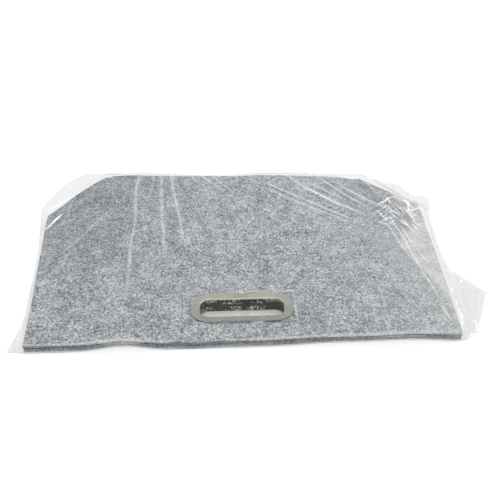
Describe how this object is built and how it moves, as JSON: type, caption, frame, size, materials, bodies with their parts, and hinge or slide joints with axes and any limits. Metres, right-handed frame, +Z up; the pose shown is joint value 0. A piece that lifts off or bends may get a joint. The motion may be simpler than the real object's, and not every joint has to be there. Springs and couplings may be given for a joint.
{
  "type": "felt carrier bag, folded flat in a film pouch",
  "caption": "Rectangular felt carrier bag with a metal eyelet grip in each large panel, folded flat with its base tucked in and packed in a clear film pouch.",
  "frame": {"origin": "under the middle of the back panel, on the underside of the pouch, the plane that the packed bag rests on", "axes": "+X across the mouth, +Y from the mouth edge towards the base, +Z up, out of the folded bag's upper face"},
  "size_m": [0.4943, 0.3467, 0.0349],
  "materials": {
    "felt": "mottled light grey needle felt, matt and slightly fuzzy",
    "satin_nickel": "satin nickel plate, slightly warm",
    "clear_film": "thin clear polypropylene film, glossy, creased"
  },
  "bodies": {
    "back": {"back_panel": "felt", "rear_grip_face_ring": "satin_nickel", "rear_grip_backing_ring": "satin_nickel"},
    "left_rear_side": {"left_rear_side": "felt"},
    "left_front_side": {"left_front_side": "felt"},
    "front_panel": {"front_panel": "felt", "front_grip_face_ring": "satin_nickel", "front_grip_backing_ring": "satin_nickel"},
    "right_rear_side": {"right_rear_side": "felt"},
    "right_front_side": {"right_front_side": "felt"},
    "rear_base": {"rear_base_half": "felt"},
    "front_base": {"front_base_half": "felt"},
    "left_rear_tuck": {"left_rear_tuck": "felt"},
    "left_front_tuck": {"left_front_tuck": "felt"},
    "right_rear_tuck": {"right_rear_tuck": "felt"},
    "right_front_tuck": {"right_front_tuck": "felt"},
    "pouch": {"film_pouch": "clear_film"}
  },
  "joints": [
    {"name": "bag_opening", "type": "hinge", "parent": "back", "child": "left_rear_side", "pos_m": [-0.162, -0.165, 0.0061], "axis": [0, 1, 0], "range_deg": [0, 90], "deforming": ["film_pouch", "left_rear_tuck", "left_front_tuck", "right_rear_tuck", "right_front_tuck"]},
    {"name": "left_side_seam", "type": "hinge", "parent": "left_rear_side", "child": "left_front_side", "pos_m": [-0.23, -0.165, 0.0066], "axis": [0, -0.9995, -0.0318], "range_deg": [0, 180.01]},
    {"name": "front_panel_edge", "type": "hinge", "parent": "left_front_side", "child": "front_panel", "pos_m": [-0.162, -0.165, 0.0071], "axis": [0, 0.998, 0.0636], "range_deg": [0, 90.01]},
    {"name": "right_side_edge", "type": "hinge", "parent": "back", "child": "right_rear_side", "pos_m": [0.162, -0.165, 0.0061], "axis": [0, -1, 0], "range_deg": [0, 90.01]},
    {"name": "right_side_seam", "type": "hinge", "parent": "right_rear_side", "child": "right_front_side", "pos_m": [0.23, -0.165, 0.0066], "axis": [0, 0.9995, 0.0318], "range_deg": [0, 180.01]},
    {"name": "rear_base_edge", "type": "hinge", "parent": "back", "child": "rear_base", "pos_m": [0, 0.165, 0.0061], "axis": [-1, 0, 0], "range_deg": [0, 84.34]},
    {"name": "front_base_edge", "type": "hinge", "parent": "front_panel", "child": "front_base", "pos_m": [0, 0.16433, 0.0281], "axis": [1, 0, 0], "range_deg": [0, 87.99]},
    {"name": "left_rear_tuck_crease", "type": "hinge", "parent": "left_rear_side", "child": "left_rear_tuck", "pos_m": [-0.196, 0.131, 0.0061], "axis": [-0.7071, -0.7071, 0], "range_deg": [0, 171.98]},
    {"name": "left_front_tuck_crease", "type": "hinge", "parent": "left_front_side", "child": "left_front_tuck", "pos_m": [-0.196, 0.1304, 0.02594], "axis": [0.7071, 0.7057, 0.045], "range_deg": [0, 177.15]},
    {"name": "right_rear_tuck_crease", "type": "hinge", "parent": "right_rear_side", "child": "right_rear_tuck", "pos_m": [0.196, 0.131, 0.0061], "axis": [-0.7071, 0.7071, 0], "range_deg": [0, 171.98]},
    {"name": "right_front_tuck_crease", "type": "hinge", "parent": "right_front_side", "child": "right_front_tuck", "pos_m": [0.196, 0.1304, 0.02594], "axis": [0.7071, -0.7057, -0.045], "range_deg": [0, 177.15]},
    {"name": "pouch_pull_off", "type": "slide", "parent": "back", "child": "pouch", "axis": [-1, 0, 0], "range_m": [0, 0.56]}
  ],
  "couplings": [
    {"joint": "left_side_seam", "follows": "bag_opening", "ratio": 2},
    {"joint": "front_panel_edge", "follows": "bag_opening", "ratio": 1},
    {"joint": "right_side_edge", "follows": "bag_opening", "ratio": 1},
    {"joint": "right_side_seam", "follows": "bag_opening", "ratio": 2},
    {"joint": "rear_base_edge", "follows": "bag_opening", "ratio": 0.93699},
    {"joint": "front_base_edge", "follows": "bag_opening", "ratio": 0.97753},
    {"joint": "left_rear_tuck_crease", "follows": "bag_opening", "ratio": 1.9107},
    {"joint": "left_front_tuck_crease", "follows": "bag_opening", "ratio": 1.9682},
    {"joint": "right_rear_tuck_crease", "follows": "bag_opening", "ratio": 1.9107},
    {"joint": "right_front_tuck_crease", "follows": "bag_opening", "ratio": 1.9682}
  ]
}
